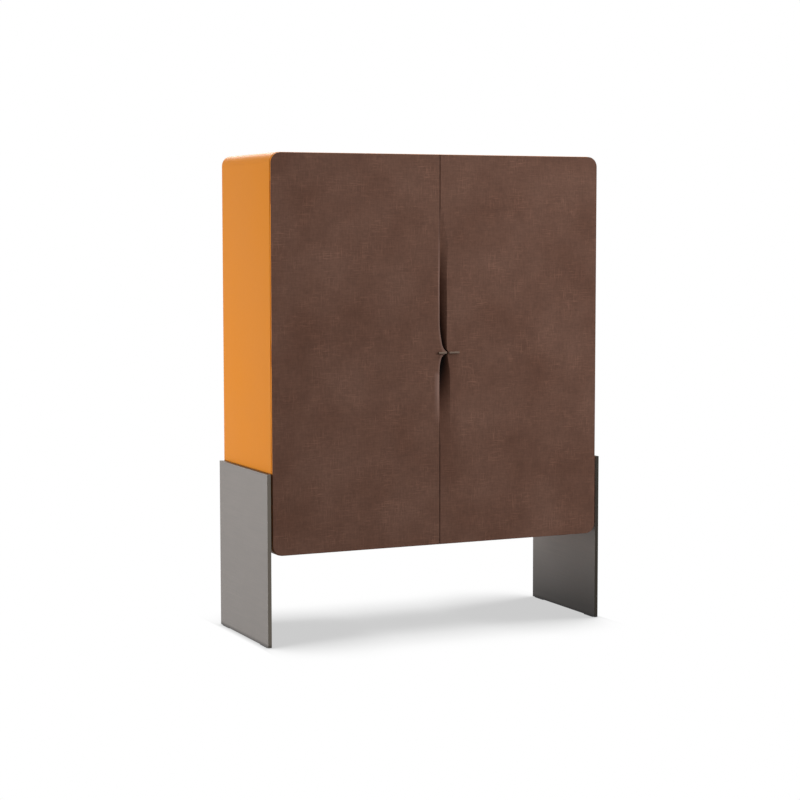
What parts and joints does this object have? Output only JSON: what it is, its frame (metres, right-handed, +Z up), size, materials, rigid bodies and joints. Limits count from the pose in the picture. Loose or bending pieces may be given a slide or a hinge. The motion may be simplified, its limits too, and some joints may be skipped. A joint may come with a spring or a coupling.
{
  "type": "display cabinet",
  "caption": "Tall box cabinet with leather-faced doors that meet at a sculpted edge with small metal bars, on two metal panel legs.",
  "frame": {"origin": "on the floor under the middle of the cabinet, bars included", "axes": "+X to the right seen from the front, +Y to the back, +Z up"},
  "size_m": [1.234, 0.4552, 1.6],
  "materials": {
    "orange_lacquer": "satin lacquer on board",
    "door_lacquer": "satin lacquer on board, leather-brown at the meeting edges",
    "brown_leather": "matt nubuck with soft mottling",
    "leg_metal": "brushed, bronze-grey",
    "bar_metal": "brushed bronze",
    "hinge_paint": "satin paint in the colour of the box",
    "dark_hardware": "burnished dark bronze",
    "black_plastic": "matt black"
  },
  "bodies": {
    "carcass": {"back_panel": "orange_lacquer", "bottom_panel": "orange_lacquer", "centre_divider": "orange_lacquer", "frame_hinge_screws": "dark_hardware", "hinge_left_bottom_frame_leaf": "hinge_paint", "hinge_left_bottom_pin": "hinge_paint", "hinge_left_middle_frame_leaf": "hinge_paint", "hinge_left_middle_pin": "hinge_paint", "hinge_left_top_frame_leaf": "hinge_paint", "hinge_left_top_pin": "hinge_paint", "hinge_right_bottom_frame_leaf": "hinge_paint", "hinge_right_bottom_pin": "hinge_paint", "hinge_right_middle_frame_leaf": "hinge_paint", "hinge_right_middle_pin": "hinge_paint", "hinge_right_top_frame_leaf": "hinge_paint", "hinge_right_top_pin": "hinge_paint", "leg_bolts": "dark_hardware", "leg_glides": "black_plastic", "leg_panel_left": "leg_metal", "leg_panel_right": "leg_metal", "leg_spacers": "black_plastic", "magnet_catches": "black_plastic", "shelf_left_lower": "orange_lacquer", "shelf_left_middle": "orange_lacquer", "shelf_left_upper": "orange_lacquer", "shelf_pins": "dark_hardware", "shelf_right_lower": "orange_lacquer", "shelf_right_middle": "orange_lacquer", "shelf_right_upper": "orange_lacquer", "side_panel_left": "orange_lacquer", "side_panel_right": "orange_lacquer", "top_panel": "orange_lacquer"},
    "door_left": {"door_left_hinge_screws": "dark_hardware", "door_left_leather": "brown_leather", "door_left_panel": "door_lacquer", "door_left_strike_plate": "dark_hardware", "handle_left_bar": "bar_metal", "handle_left_screws": "dark_hardware", "hinge_left_bottom_door_leaf": "hinge_paint", "hinge_left_middle_door_leaf": "hinge_paint", "hinge_left_top_door_leaf": "hinge_paint"},
    "door_right": {"door_right_grip_block": "brown_leather", "door_right_hinge_screws": "dark_hardware", "door_right_leather": "brown_leather", "door_right_panel": "door_lacquer", "door_right_strike_plate": "dark_hardware", "handle_right_bar": "bar_metal", "handle_right_screws": "dark_hardware", "hinge_right_bottom_door_leaf": "hinge_paint", "hinge_right_middle_door_leaf": "hinge_paint", "hinge_right_top_door_leaf": "hinge_paint"}
  },
  "joints": [
    {"name": "door_left_hinge", "type": "hinge", "parent": "carcass", "child": "door_left", "pos_m": [-0.596, -0.215, 0.95], "axis": [0, 0, -1], "range_deg": [0, 105]},
    {"name": "door_right_hinge", "type": "hinge", "parent": "carcass", "child": "door_right", "pos_m": [0.596, -0.215, 0.95], "axis": [0, 0, 1], "range_deg": [0, 105]}
  ]
}
